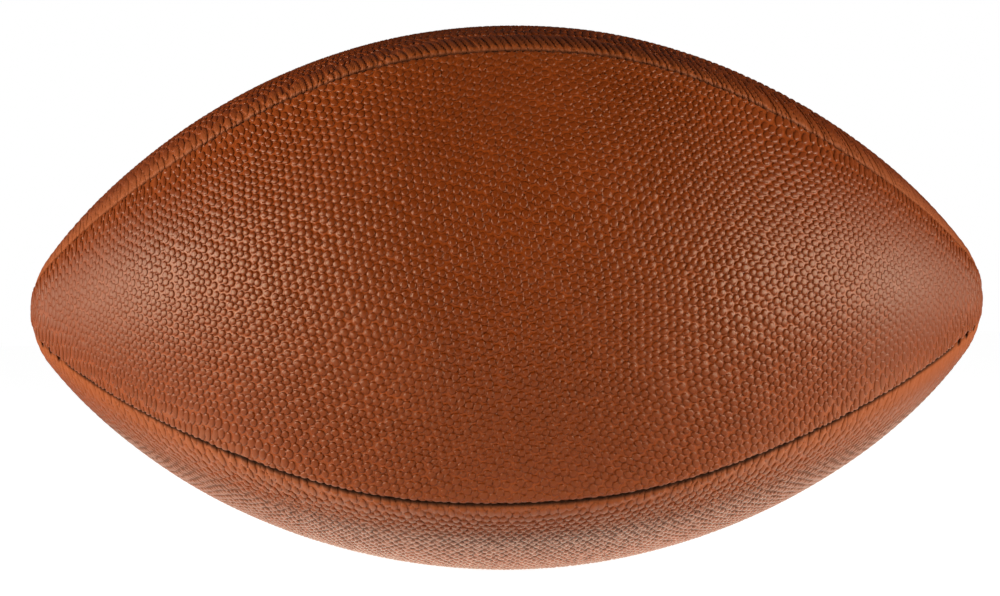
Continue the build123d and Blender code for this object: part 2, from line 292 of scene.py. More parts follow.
class Finish(Nodes):
    """A material with one Principled shader."""

    def __init__(self, name):
        self.material = bpy.data.materials.new(name)
        self.material.use_nodes = True
        super().__init__(self.material.node_tree)
        self.shader = self.tree.nodes["Principled BSDF"]

    def attribute(self, name):
        return self.node("ShaderNodeAttribute", {"attribute_name": name}, output="Fac")

    def place(self):
        return self.node("ShaderNodeTexCoord", output="Object")

    def axis(self, name):
        return self.node("ShaderNodeSeparateXYZ", None, {0: self.place()}, output=name)

    def noise(self, scale, detail=2.0, roughness=0.5):
        inputs = {"Scale": scale, "Detail": detail, "Roughness": roughness, "Vector": self.place()}
        return self.node("ShaderNodeTexNoise", None, inputs)

    def ramp(self, value, *stops):
        return self.node("ShaderNodeValToRGB", {"stops": stops}, {"Fac": value})

    def remap(self, value, low, high, start=0.0, end=1.0):
        inputs = {"Value": value, "From Min": low, "From Max": high, "To Min": start, "To Max": end}
        return self.node("ShaderNodeMapRange", {"clamp": True}, inputs)

    def tint(self, first, colour, factor):
        settings = {"data_type": "RGBA", "blend_type": "MIX"}
        return self.node("ShaderNodeMix", settings, {0: factor, 6: first, 7: (*colour, 1)}, output=2)

    def bump(self, height, distance, strength=1.0, under=None):
        inputs = {"Height": height, "Distance": distance, "Strength": strength}
        if under is not None:
            inputs["Normal"] = under
        return self.node("ShaderNodeBump", None, inputs)

    def wear(self, **sockets):
        for socket, value in sockets.items():
            self.feed(self.shader.inputs[socket.replace("_", " ")], value)
        return self.material


# Finishes. A noise has its scale, detail and roughness, a range what goes in and what comes out of it.
LEATHER_CLOUDS = (28.0, 4.0, 0.55)
LEATHER_FLECKS = (900.0, 3.0, 0.6)
LEATHER_CREASES = (620.0, 4.0, 0.65)
LEATHER_PORES = (2600.0, 2.0, 0.6)
HIDE_DARK = (0.30, 0.049, 0.0047)
HIDE_PALE = (0.36, 0.061, 0.0065)
HIDE_PATCH = 0.1
# Painted shade: darker brown on the pebbles' tops and towards the tips
SHADE_BROWN = (0.17, 0.025, 0.002)
CROWN_SHADE_SHARE = 0.5
# Painted shade towards the tips, scaled by the wear of the grain there
TIP_SHADE_SHARE = 0.5
FLECK_BROWN = (0.12, 0.017, 0.002)
FLECK_RANGE = (0.6, 0.8, 0.0, 0.3)
# Paler brown near the seams, partly rubbed leather and partly painted light
RUBBED_AND_LIT_BROWN = (0.37, 0.074, 0.010)
# Dirt and painted shade in the seams, eyelets, lace holes and the bottom panel's valleys
DIRT_AND_SHADE_BROWN = (0.018, 0.006, 0.003)
DIRT_AND_SHADE_SHARE = 0.92
LEATHER_ROUGH = (0.4, 1.4, 0.22, 0.4)
FLECK_ROUGH = 0.4
RUBBED_ROUGH = 0.3
WORN_ROUGH = 0.32
DIRT_ROUGH = 0.4
CREASE_DEPTH = 0.0001
PORE_DEPTH = 0.00004
FINE_BUMP = 0.5
LEATHER_SHEEN = 0.6
SHEEN_TINT = (1, 0.78, 0.52, 1)
POLISH_ROUGH = 0.15
POLISH_IOR = 1.6

LACE_CLOUDS = (90.0, 4.0, 0.6)
LACE_FLECKS = (1500.0, 3.0, 0.6)
LACE_DARK = (0.56, 0.51, 0.42)
LACE_PALE = (0.68, 0.64, 0.55)
LACE_EDGE_BROWN = (0.3, 0.22, 0.15)
LACE_EDGE_RANGE = (0.9, 1.5, 0.0, 0.6)
LACE_EDGE_CLOUDS = 0.6
LACE_GRIME = (0.4, 0.33, 0.25)
LACE_GRIME_RANGE = (0.55, 0.75, 0.0, 0.35)
LACE_ROUGH = (0.6, 1.4, 0.42, 0.62)
LACE_RIB_PITCH = 0.8
LACE_RIB_SHARE = 0.5
LACE_RIB_DEPTH = 0.00006
LACE_RIB_BUMP = 0.7

COTTON_CLOUDS = (60.0, 4.0, 0.6)
COTTON_DARK = (0.36, 0.31, 0.23)
COTTON_PALE = (0.55, 0.5, 0.4)
COTTON_ROUGH = (0.3, 0.7, 0.82, 0.95)
COTTON_PITCH = 1.1
COTTON_SHARE = 0.3
COTTON_DEPTH = 0.00015
COTTON_BUMP = 0.6

THREAD_WAX = (700.0, 3.0, 0.6)
THREAD_DARK = (0.012, 0.006, 0.004)
THREAD_PALE = (0.045, 0.024, 0.014)
THREAD_ROUGH = (0.3, 0.7, 0.4, 0.6)
PLY_PITCH = 0.0009
PLY_SHARE = 0.2
PLY_DEPTH = 0.0001
PLY_BUMP = 0.7

FACING_CLOUDS = (70.0, 4.0, 0.6)
FACING_GRAIN = (1300.0, 4.0, 0.65)
FACING_DARK = (0.055, 0.02, 0.008)
FACING_PALE = (0.1, 0.036, 0.014)
FACING_ROUGH = (0.3, 0.7, 0.5, 0.7)
FACING_GRAIN_SHARE = 0.3
FACING_GRAIN_DEPTH = 0.00015
FACING_BUMP = 0.6

RUBBER_BLOOM = (5.0, 0.6)
RUBBER_SKIN = (1800.0, 3.0, 0.6)
RUBBER_ROUGH = (0.4, 1.0, 0.45, 0.68)
RUBBER_SKIN_SHARE = 0.3
RUBBER_SKIN_DEPTH = 0.00006
RUBBER_BUMP = 0.6
BLADDER_DARK = (0.012, 0.011, 0.011)
BLADDER_PALE = (0.035, 0.032, 0.031)
BLADDER_BLOOM_SCALE = 40.0
VALVE_DARK = (0.009, 0.008, 0.008)
VALVE_PALE = (0.03, 0.028, 0.027)
VALVE_BLOOM_SCALE = 400.0


def pebbled_leather():
    """Brown pebbled cowhide, steep pebble rims; painted shade on pebble tops, at the tips, in valleys and
    with dirt in seams.
    """
    finish = Finish("pebbled_leather")
    reach = finish.attribute("pebble_reach")
    size = finish.attribute("pebble_size")
    patch = finish.attribute("patch")
    dirt = finish.attribute("dirt")
    worn = finish.attribute("worn")
    rubbed = finish.attribute("rubbed")
    dome = finish.remap(1 - reach**DOME_ROUND, 0.0, 1.0) ** DOME_POWER
    cushion = finish.remap(1 - reach**CUSHION_ROUND, 0.0, 1.0)
    cloudy = finish.noise(*LEATHER_CLOUDS)
    fleck = finish.noise(*LEATHER_FLECKS)
    hide = finish.ramp(cloudy + patch * HIDE_PATCH, (0.3, HIDE_DARK), (0.7, HIDE_PALE))
    # Painted shade on the pebbles' tops
    shaded_crowns = finish.tint(hide, SHADE_BROWN, dome * CROWN_SHADE_SHARE)
    # Painted shade towards the tips, where the grain is worn flat
    shaded_tips = finish.tint(shaded_crowns, SHADE_BROWN, worn * TIP_SHADE_SHARE)
    flecked = finish.tint(shaded_tips, FLECK_BROWN, finish.remap(fleck, *FLECK_RANGE))
    # Paler near the seams: rubbing and painted light
    pale = finish.tint(flecked, RUBBED_AND_LIT_BROWN, rubbed)
    # Dirt and painted shade darken the seams, eyelets and lace holes; the valleys get painted shade only
    dirty_and_shaded = finish.tint(pale, DIRT_AND_SHADE_BROWN, dirt * DIRT_AND_SHADE_SHARE)
    rough = finish.remap(cloudy + fleck * FLECK_ROUGH + dirt, *LEATHER_ROUGH)
    rough = rough + rubbed * RUBBED_ROUGH + worn * WORN_ROUGH + dirt * DIRT_ROUGH
    rims = finish.bump((dome - cushion * PEBBLE_IN_MESH) * size, MM)
    creases = finish.bump(finish.noise(*LEATHER_CREASES), CREASE_DEPTH, FINE_BUMP, rims)
    pores = finish.bump(finish.noise(*LEATHER_PORES), PORE_DEPTH, FINE_BUMP, creases)
    return finish.wear(Base_Color=dirty_and_shaded, Roughness=rough, Normal=pores,
                       Specular_IOR_Level=LEATHER_SHEEN, Specular_Tint=SHEEN_TINT,
                       Coat_Weight=finish.attribute("polish"), Coat_Roughness=POLISH_ROUGH,
                       Coat_IOR=POLISH_IOR)


def lace_vinyl():
    """Off-white lace with fine cross ribs, its edges rubbed grey-brown."""
    finish = Finish("lace_vinyl")
    along = finish.attribute("along")
    aside = finish.attribute("aside")
    cloudy = finish.noise(*LACE_CLOUDS)
    fleck = finish.noise(*LACE_FLECKS)
    clean = finish.ramp(cloudy, (0.35, LACE_DARK), (0.65, LACE_PALE))
    edges = finish.remap(aside * aside + cloudy * LACE_EDGE_CLOUDS, *LACE_EDGE_RANGE)
    rubbed = finish.tint(clean, LACE_EDGE_BROWN, edges)
    grimy = finish.tint(rubbed, LACE_GRIME, finish.remap(fleck, *LACE_GRIME_RANGE))
    ribs = (along * (2 * math.pi / LACE_RIB_PITCH)).cosine() * LACE_RIB_SHARE + fleck
    rough = finish.remap(fleck + cloudy, *LACE_ROUGH)
    relief = finish.bump(ribs, LACE_RIB_DEPTH, LACE_RIB_BUMP)
    return finish.wear(Base_Color=grimy, Roughness=rough, Normal=relief)


def lining_cotton():
    """Unbleached plain weave."""
    finish = Finish("lining_cotton")
    thread = 2 * math.pi / COTTON_PITCH
    warp = (finish.attribute("along") * thread).cosine()
    weft = (finish.attribute("aside") * thread).cosine()
    cloudy = finish.noise(*COTTON_CLOUDS)
    cloth = finish.ramp(warp * weft * COTTON_SHARE + cloudy, (0.2, COTTON_DARK), (0.8, COTTON_PALE))
    rough = finish.remap(cloudy, *COTTON_ROUGH)
    relief = finish.bump(warp * weft, COTTON_DEPTH, COTTON_BUMP)
    return finish.wear(Base_Color=cloth, Roughness=rough, Normal=relief)


def waxed_thread():
    """Dark brown thread, twisted and waxed."""
    finish = Finish("waxed_thread")
    lay = finish.axis("X") + finish.axis("Y") + finish.axis("Z")
    ply = (lay * (2 * math.pi / PLY_PITCH)).cosine()
    wax = finish.noise(*THREAD_WAX)
    fibre = finish.ramp(ply * PLY_SHARE + wax, (0.3, THREAD_DARK), (0.7, THREAD_PALE))
    rough = finish.remap(wax, *THREAD_ROUGH)
    return finish.wear(Base_Color=fibre, Roughness=rough, Normal=finish.bump(ply + wax, PLY_DEPTH, PLY_BUMP))


def facing_leather():
    """Smooth brown leather strip with a fine grain."""
    finish = Finish("facing_leather")
    cloudy = finish.noise(*FACING_CLOUDS)
    grain = finish.noise(*FACING_GRAIN)
    hide = finish.ramp(cloudy + grain * FACING_GRAIN_SHARE, (0.4, FACING_DARK), (0.9, FACING_PALE))
    rough = finish.remap(grain, *FACING_ROUGH)
    relief = finish.bump(grain, FACING_GRAIN_DEPTH, FACING_BUMP)
    return finish.wear(Base_Color=hide, Roughness=rough, Normal=relief)


def moulded_rubber(name, dark, pale, scale):
    """Black rubber with a dusty bloom and the fine skin of its mould."""
    finish = Finish(name)
    bloom = finish.noise(scale, *RUBBER_BLOOM)
    skin = finish.noise(*RUBBER_SKIN)
    colour = finish.ramp(bloom, (0.35, dark), (0.75, pale))
    rough = finish.remap(bloom + skin * RUBBER_SKIN_SHARE, *RUBBER_ROUGH)
    relief = finish.bump(skin, RUBBER_SKIN_DEPTH, RUBBER_BUMP)
    return finish.wear(Base_Color=colour, Roughness=rough, Normal=relief)


# Shape of the ball
def smooth_step(low, high, value):
    share = np.clip((value - low) / (high - low), 0, 1)
    return share * share * (3 - 2 * share)


def smooth_step_area(low, high, value):
    """Area under a smooth step from its low end up to a value."""
    share = np.clip((value - low) / (high - low), 0, None)
    return np.where(share < 1, share**3 - share**4 / 2, share - 1 / 2) * (high - low)


def outline(run):
    """Distance along the axis and out from it, at a run along a panel's middle line."""
    far = np.abs(run)
    turn = np.where(far <= BELLY_RUN, far / BELLY_RADIUS, JOIN_ANGLE + (far - BELLY_RUN) / NOSE_RADIUS)
    on_belly = turn <= JOIN_ANGLE
    along = np.where(on_belly, BELLY_RADIUS * np.sin(turn), NOSE_X + NOSE_RADIUS * np.sin(turn))
    belly_out = BELLY_RADIUS * np.cos(turn) + MID_RADIUS - BELLY_RADIUS
    return np.sign(run) * along, np.where(on_belly, belly_out, NOSE_RADIUS * np.cos(turn))


def panel_arc(along, out):
    """Radius of a panel's crosswise curve, and how far its centre lies from the axis."""
    corner = BELLY_CORNER + (END_CORNER - BELLY_CORNER) * smooth_step(BELLY_TO, END_FROM, np.abs(along))
    share = corner / ROOT_TWO
    arc = out * ((1 - share) ** 2 + share**2) / (2 * (1 - share))
    return arc, out - arc


def panel_skin(run, across, opened):
    """Points of a smooth panel facing -Y, at runs along it and shares of its half width."""
    along, out = outline(run)
    arc, back = panel_arc(along, out)
    roll = np.minimum(SEAM_ROLL, ROLL_SHARE * out)
    inset = ROOT_TWO * (roll + np.minimum(SEAM_GAP, GAP_SHARE * out) + opened)
    shift = inset - back
    side = (np.sqrt(np.maximum(2 * (arc - roll) ** 2 - shift**2, 0)) - shift) / 2
    centre = side + inset
    turn = np.arctan2(side, centre - back)
    face = arc * turn
    bend = roll * (math.radians(90 + PANEL_SPAN / 2) - turn)
    length = np.abs(across) * (face + bend + np.minimum(SEAM_LIP, LIP_SHARE * out))
    on_face = length <= face
    angle = np.where(on_face, length / arc, turn + (np.minimum(length, face + bend) - face) / roll)
    depth = np.maximum(length - face - bend, 0) / ROOT_TWO
    outward = np.where(on_face, back + arc * np.cos(angle), centre + roll * np.cos(angle)) - depth
    sideways = np.where(on_face, arc * np.sin(angle), side + roll * np.sin(angle)) - depth
    points = np.stack([along, -outward, np.sign(across) * sideways], -1)
    return points, np.sign(across) * length, face + EDGE_AT * bend - length


def turn_about_axis(points, degrees):
    """Points turned about the ball's long axis."""
    angle = np.radians(degrees)
    y = points[..., 1] * np.cos(angle) - points[..., 2] * np.sin(angle)
    z = points[..., 1] * np.sin(angle) + points[..., 2] * np.cos(angle)
    return np.stack([points[..., 0], y, z], -1)


def settle(points):
    """Points of an even ball, moved to where they are on the ball as blown up."""
    share = points[..., 0] / HALF_LENGTH
    fuller = 1 + np.where(share < 0, LEFT_FULLNESS, RIGHT_FULLNESS) * np.abs(share) ** FULLNESS_POWER
    x, y, z = np.moveaxis(turn_about_axis(points, -TWIST * share), -1, 0)
    return np.stack([x, y * fuller, z * fuller - BOW * share**2], -1)


# Grain
def cloud(run, width, seed, cell):
    """Smooth random value from -1 to 1 that changes over a distance of about one cell."""
    count = PEBBLE_TABLE
    knots = np.random.default_rng(seed).uniform(-1, 1, (count, count))
    i = np.floor(run / cell).astype(int)
    j = np.floor(width / cell).astype(int)
    u = smooth_step(0, 1, run / cell - i)
    v = smooth_step(0, 1, width / cell - j)
    low = knots[i % count, j % count] * (1 - u) + knots[(i + 1) % count, j % count] * u
    high = knots[i % count, (j + 1) % count] * (1 - u) + knots[(i + 1) % count, (j + 1) % count] * u
    return low * (1 - v) + high * v


def pebble_reach(run, width, seed):
    """Way from a pebble's middle to its foot, as a share; pebbles stray from a triangular net."""
    rng = np.random.default_rng(seed)
    stray = rng.uniform(-PEBBLE_STRAY, PEBBLE_STRAY, (2, PEBBLE_TABLE, PEBBLE_TABLE))
    swell = rng.uniform(1 - PEBBLE_SPREAD, 1 + PEBBLE_SPREAD, (PEBBLE_TABLE, PEBBLE_TABLE))
    row_height = PEBBLE_PITCH * math.sqrt(3) / 2
    nearest_row = np.round(width / row_height).astype(int)
    nearest = np.full(run.shape, np.inf)
    second = np.full(run.shape, np.inf)
    for row in (nearest_row - 1, nearest_row, nearest_row + 1):
        start = (row % 2) * PEBBLE_PITCH / 2
        nearest_place = np.round((run - start) / PEBBLE_PITCH).astype(int)
        for place in (nearest_place - 1, nearest_place, nearest_place + 1):
            pebble = (place % PEBBLE_TABLE, row % PEBBLE_TABLE)
            ahead = run - start - place * PEBBLE_PITCH - stray[0][pebble]
            aside = width - row * row_height - stray[1][pebble]
            distance = np.hypot(ahead, aside) / swell[pebble]
            second = np.minimum(second, np.maximum(nearest, distance))
            nearest = np.minimum(nearest, distance)
    return np.minimum(np.maximum(nearest / PEBBLE_RADIUS, 2 * nearest / (nearest + second)), 2)


def grain_place(run, width, edge, number):
    """Where a point of a panel lies on the hide: stretched towards the seams, packed at the tips."""
    from_seam = np.clip(edge, 0, None)
    reach = STRETCH_REACH[number]
    towards_ends = smooth_step(STRETCH_FROM, STRETCH_TO, np.abs(run))
    least = STRETCH_AT_BELLY[number] + (STRETCH_AT_ENDS[number] - STRETCH_AT_BELLY[number]) * towards_ends
    power = STRETCH_POWER[number]
    squeeze = least + (1 - least) * np.clip(from_seam / reach, 0, 1) ** power / (power + 1)
    lost = reach * (1 - least) * power / (power + 1)
    on_hide = np.where(from_seam < reach, from_seam * squeeze, from_seam - lost)
    net_width = np.sign(width) * (np.abs(width) + from_seam - lost - on_hide)
    gained = smooth_step_area(END_PACK_FROM, END_PACK_TO, np.abs(run))
    ended_run = run + np.sign(run) * END_PACK[number] * gained
    packed_run = PLEAT_PACK[number] * (ended_run + PLEAT_LEAN[number] * width)
    bent_run = packed_run + DRIFT * cloud(run, net_width, DRIFT_RUN_SEED + number, DRIFT_CELL)
    bent_width = net_width + DRIFT * cloud(run, net_width, DRIFT_WIDTH_SEED + number, DRIFT_CELL)
    ahead = math.cos(PEBBLE_LEAN[number])
    aside = math.sin(PEBBLE_LEAN[number])
    return bent_run * ahead - bent_width * aside, bent_run * aside + bent_width * ahead


# Meshes
def grid_faces(rows, columns):
    """Four-sided faces of a grid of points."""
    corner = np.arange(rows - 1)[:, None] * columns + np.arange(columns - 1)[None]
    return np.stack([corner, corner + columns, corner + columns + 1, corner + 1], -1).reshape(-1, 4)


def tube_faces(rows, columns):
    """Four-sided faces of rings of points."""
    corner = np.arange(rows - 1)[:, None] * columns + np.arange(columns)[None]
    beside = np.arange(rows - 1)[:, None] * columns + (np.arange(columns)[None] + 1) % columns
    return np.stack([corner, corner + columns, beside + columns, beside], -1).reshape(-1, 4)


def mesh_piece(name, points, faces, material, shares):
    """Object from millimetre points and four-sided faces, with numbers per point for its finish."""
    mesh = bpy.data.meshes.new(name)
    mesh.vertices.add(len(points))
    mesh.vertices.foreach_set("co", (points * MM).astype(np.float32).ravel())
    mesh.loops.add(faces.size)
    mesh.loops.foreach_set("vertex_index", faces.astype(np.int32).ravel())
    mesh.polygons.add(len(faces))
    mesh.polygons.foreach_set("loop_start", np.arange(0, faces.size, faces.shape[1], dtype=np.int32))
    mesh.polygons.foreach_set("use_smooth", np.ones(len(faces), dtype=bool))
    for label, values in shares.items():
        layer = mesh.attributes.new(label, "FLOAT", "POINT")
        layer.data.foreach_set("value", values.astype(np.float32).ravel())
    mesh.update(calc_edges=True)
    mesh.validate()
    mesh.materials.append(material)
    piece = bpy.data.objects.new(name, mesh)
    bpy.context.scene.collection.objects.link(piece)
    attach(piece, "root")
    return piece


# Panels
def panel_runs(step):
    """Places along a panel, closer together towards its tips, where the eyelets are."""
    middle = HALF_RUN - FINE_REACH
    coarse = np.linspace(-middle, middle, round(2 * middle / step) + 1)
    fine = np.linspace(middle, HALF_RUN, round(FINE_REACH / FINE_STEP) + 1)[1:]
    return np.concatenate([-fine[::-1], coarse, fine])


def at_closing(across, number):
    """Which points lie on the half of a panel that ends at the closing seam."""
    return np.sign(across) == CLOSING_EDGES.get(number, 0)


def eyelets(run, across, number):
    """How far the closing seam's stitches hold its edges open, and how tightly they shut it between."""
    first = np.where(run < 0, EYELET_FIRST_LEFT, EYELET_FIRST_RIGHT)
    stitch = (FULL_RUN - np.abs(run) - first) / STITCH_PITCH
    sewn = smooth_step(EYELET_COUNT, EYELET_COUNT - EYELET_EASE, stitch)
    held = (np.round(stitch) >= 0) * (np.round(stitch) < EYELET_COUNT)
    pulse = held * np.maximum(np.cos(2 * math.pi * stitch), 0) ** EYELET_SHARP
    on_edge = at_closing(across, number)
    return np.where(on_edge, EYELET_OPEN * pulse, 0), np.where(on_edge, sewn * (1 - pulse), 0)


def bar_places():
    """Places of the lace's bars along the axis."""
    return (np.arange(LACE_BARS) - (LACE_BARS - 1) / 2) * LACE_PITCH


def lace_holes(points, number):
    """Depth from 0 to 1 of the hollows where the lace goes into a panel."""
    edge = LACED_EDGES.get(number, 0)
    if not edge:
        return np.zeros(points.shape[:-1])
    aside = (-points[..., 1] - edge * points[..., 2]) / ROOT_TWO
    across = np.exp(-((aside - LACE_HOLE_AT) / LACE_HOLE_WIDE) ** 2) * (edge * points[..., 2] > 0)
    along = [np.exp(-((points[..., 0] - place) / LACE_HOLE_LONG) ** 2) for place in bar_places()]
    return across * np.max(along, axis=0)


def valve_distance(points, number):
    """Distance from the valve's axis, on the panel that has the valve."""
    if number != VALVED_PANEL:
        return np.full(points.shape[:-1], HALF_LENGTH)
    return np.hypot(points[..., 0], points[..., 2] - VALVE_ASIDE)


def panel_normals(points):
    """Outward directions of a grid of points on a panel that faces -Y."""
    normal = np.cross(np.gradient(points, axis=1), np.gradient(points, axis=0))
    normal /= np.maximum(np.linalg.norm(normal, axis=-1, keepdims=True), SHORTEST)
    middle = normal[normal.shape[0] // 2, normal.shape[1] // 2]
    return -normal if middle[1] > 0 else normal


def tip_wear(run, edge, number):
    """How far a panel's grain is worn down towards the tips, which also darkens them with painted shade."""
    worn = TIP_FADE * smooth_step(TIP_FADE_FROM, TIP_FADE_TO, np.abs(run))
    return worn * smooth_step(*TIP_FADE_INSIDE[number], edge)


def near_belly(run):
    """1 at the belly, 0 towards the tips."""
    return 1 - smooth_step(STRETCH_FROM, STRETCH_TO, np.abs(run))


def leather_marks(run, across, edge, reach, shut, holes, number):
    """Dirt and painted shade in the seams, holes and valleys, rubbed places partly painted light, and polish
    of a panel.
    """
    # Seams, eyelets and lace holes darken with dirt and painted shade
    closing = smooth_step(*CLOSING_DIRT_AND_SHADE, edge)
    dirt = np.where(at_closing(across, number), closing, smooth_step(*OTHER_DIRT_AND_SHADE, edge))
    # Painted shade in the bottom panel's valleys
    valley = VALLEY_SHADE[number] * smooth_step(*VALLEY_AT, reach) * smooth_step(*VALLEY_FROM, edge)
    polish = POLISH[number] * smooth_step(*POLISH_FROM, edge) * (1 - valley)
    return {"dirt": np.maximum(np.maximum(dirt * (1 - EYELET_SHUT * shut), holes), valley),
            "rubbed": RUBBED_AND_LIT[number] * smooth_step(RUBBED_AND_LIT_REACH, 0.0, edge),
            "polish": polish * (POLISH_AT_ENDS + (1 - POLISH_AT_ENDS) * near_belly(run))}


def leather_panel(number, material):
    """One panel with its pebbles as real relief, its edges rolled in at the seams."""
    step = HIDDEN_GRAIN_STEP if number else GRAIN_STEP
    columns = round(2 * WIDEST_HALF / step) + 1
    runs = panel_runs(step)
    run, across = np.meshgrid(runs, np.linspace(-1, 1, columns), indexing="ij")
    opened, shut = eyelets(run, across, number)
    points, width, edge = panel_skin(run, across, opened)
    reach = pebble_reach(*grain_place(run, width, edge, number), PEBBLE_SEED + number)
    patch = cloud(run, width, PATCH_SEED + number, PATCH_CELL)
    holes = lace_holes(points, number)
    from_valve = valve_distance(points, number)
    # Wear at the tips flattens the grain and also sets the painted shade there
    worn = tip_wear(run, edge, number)
    beside_seam = smooth_step(SEAM_FADE_REACH, 0.0, np.clip(edge, 0, None))
    fade = worn + SEAM_FADE[number] * near_belly(run) * beside_seam
    size = np.clip(1 - fade + PATCH_FADE * patch, SMALLEST_PEBBLE, TALLEST_PEBBLE)
    size = size * smooth_step(*ROLL_FADE[number], edge) * (1 - holes)
    size = size * smooth_step(RECESS_RADIUS, RECESS_RADIUS + 2 * RECESS_LIP_WIDTH, from_valve)
    tall = size * PEBBLE_HEIGHT[number]
    rise = np.clip(1 - reach**CUSHION_ROUND, 0, 1) * tall * PEBBLE_IN_MESH
    rise = rise - LACE_HOLE_DEEP * holes
    rise = rise - RECESS_DEPTH * smooth_step(RECESS_RADIUS + RECESS_WALL, RECESS_RADIUS, from_valve)
    lip = (from_valve - RECESS_RADIUS - RECESS_WALL - RECESS_LIP_WIDTH / 2) / RECESS_LIP_WIDTH
    rise = rise + RECESS_LIP * np.exp(-(2 * lip) ** 2)
    points = points + panel_normals(points) * rise[..., None]
    points = settle(turn_about_axis(points, -(PANEL_TILT + PANEL_SPAN * number)))
    shares = {"pebble_reach": reach, "pebble_size": tall, "patch": patch, "worn": worn,
              **leather_marks(run, across, edge, reach, shut, holes, number)}
    name = f"{PANEL_NAMES[number]}_panel"
    faces = grid_faces(len(runs), columns)
    piece = mesh_piece(f"{name}_leather", points.reshape(-1, 3), faces, material, shares)
    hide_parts(name)


# Pieces inside the panels
def inner_grid(run_half, shares):
    """Runs along a panel and shares of its half width, evenly spaced for a piece inside it."""
    runs = np.linspace(-run_half, run_half, round(2 * run_half / INNER_STEP) + 1)
    columns = round((shares[1] - shares[0]) * WIDEST_HALF / INNER_STEP) + 1
    return np.meshgrid(runs, np.linspace(*shares, columns), indexing="ij")


def inner_sheet(node, number, run_half, shares, depths, material):
    """A sheet under a panel: its outer side out along each row and its inner side back."""
    run, across = inner_grid(run_half, shares)
    points, width = panel_skin(run, across, 0)[:2]
    normals = panel_normals(points)
    rings = np.concatenate([points - normals * depths[0], (points - normals * depths[1])[:, ::-1]], 1)
    rings = settle(turn_about_axis(rings, -(PANEL_TILT + PANEL_SPAN * number)))
    marks = {"along": np.concatenate([run, run[:, ::-1]], 1),
             "aside": np.concatenate([width, width[:, ::-1]], 1)}
    piece = mesh_piece(f"{node}_sheet", rings.reshape(-1, 3), tube_faces(*rings.shape[:2]), material, marks)
    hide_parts(node)
    return piece


def lining(number, material):
    """The cloth behind one panel."""
    depths = (LINING_DEPTH, LINING_DEPTH + LINING_THICK)
    shares = (-LINING_SHARE, LINING_SHARE)
    node = f"{PANEL_NAMES[number]}_lining"
    inner_sheet(node, number, LINING_SHARE * HALF_RUN, shares, depths, material)


def lace_facing(number, material):
    """The leather strip inside one edge of the laced seam."""
    depths = (FACING_DEPTH, FACING_DEPTH + FACING_THICK)
    shares = np.sort(LACED_EDGES[number] * np.array(FACING_SHARES))
    node = f"{PANEL_NAMES[number]}_lace_facing"
    inner_sheet(node, number, FACING_HALF, shares, depths, material)


def bladder(material):
    """The rubber bag inside the linings, one lobe under each panel."""
    run, across = inner_grid(BLADDER_SHARE * HALF_RUN, (-BLADDER_WIDE, BLADDER_WIDE))
    points = panel_skin(run, across, 0)[0]
    lobe = points - panel_normals(points) * BLADDER_DEPTH
    turns = [PANEL_TILT + PANEL_SPAN * number for number in range(len(PANEL_NAMES))]
    rings = np.concatenate([turn_about_axis(lobe, -turn) for turn in turns], 1)
    rings[[0, -1], :, 1:] *= BLADDER_END
    rings = settle(rings)
    piece = mesh_piece("bladder_bag", rings.reshape(-1, 3), tube_faces(*rings.shape[:2]), material, {})
    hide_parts("bladder")


# Lace
def ridge_height(along, aside):
    """Height of the leather above the axis beside a seam, that far aside from it."""
    out = np.sqrt(BELLY_RADIUS**2 - along**2) + MID_RADIUS - BELLY_RADIUS
    arc, back = panel_arc(along, out)
    beside = np.maximum(np.abs(aside), SEAM_ROLL)
    shift = ROOT_TWO * beside - back
    return (np.sqrt(2 * arc**2 - shift**2) - shift) / ROOT_TWO + beside


def strip(path, across, width, thick):
    """Rings of points along a flat strip with rounded edges, its length along and its share aside."""
    ahead = np.gradient(path, axis=0)
    ahead /= np.linalg.norm(ahead, axis=1, keepdims=True)
    lift = np.cross(ahead, across)
    turn = np.linspace(0, 2 * math.pi, STRIP_SIDES, endpoint=False)
    aside = np.sign(np.cos(turn)) * np.abs(np.cos(turn)) ** STRIP_SQUARE
    above = np.sign(np.sin(turn)) * np.abs(np.sin(turn)) ** STRIP_SQUARE
    ends = np.ones((len(path), 1, 1))
    ends[[0, -1]] = STRIP_END
    rings = aside[None, :, None] * across * width / 2 + above[None, :, None] * lift[:, None] * thick / 2
    along = np.cumsum(np.linalg.norm(np.diff(path, axis=0, prepend=path[:1]), axis=1))
    return path[:, None] + rings * ends, along[:, None] + 0 * turn, aside[None] + 0 * along[:, None]


def lace_bar(place, skew):
    """One bar of the lace, from its hole on one side over the seam to the other."""
    share = np.linspace(-1, 1, BAR_STEPS)
    aside = BAR_HALF * share
    over = (STRAND_THICK + LACE_THICK / 4) * smooth_step(*BAR_OVER, np.abs(share))
    height = ridge_height(place, aside) + LACE_THICK / 2 + over
    height = height - BAR_DIVE * smooth_step(BAR_DIVE_FROM, 1.0, np.abs(share))
    path = np.stack([place + skew * share, -height, aside], 1)
    return strip(path, np.array([1.0, 0, 0]), LACE_WIDTH, LACE_THICK)


def lace_strand(aside):
    """One of the two strands that run along the seam under the bars."""
    reach = bar_places()[-1] + STRAND_OVER
    along = np.linspace(-reach, reach, STRAND_STEPS)
    height = ridge_height(along, aside) + STRAND_THICK / 2
    height = height - BAR_DIVE * smooth_step(reach - STRAND_OVER, reach, np.abs(along))
    path = np.stack([along, -height, np.full_like(along, aside)], 1)
    return strip(path, np.array([0, 0, 1.0]), STRAND_WIDTH, STRAND_THICK)


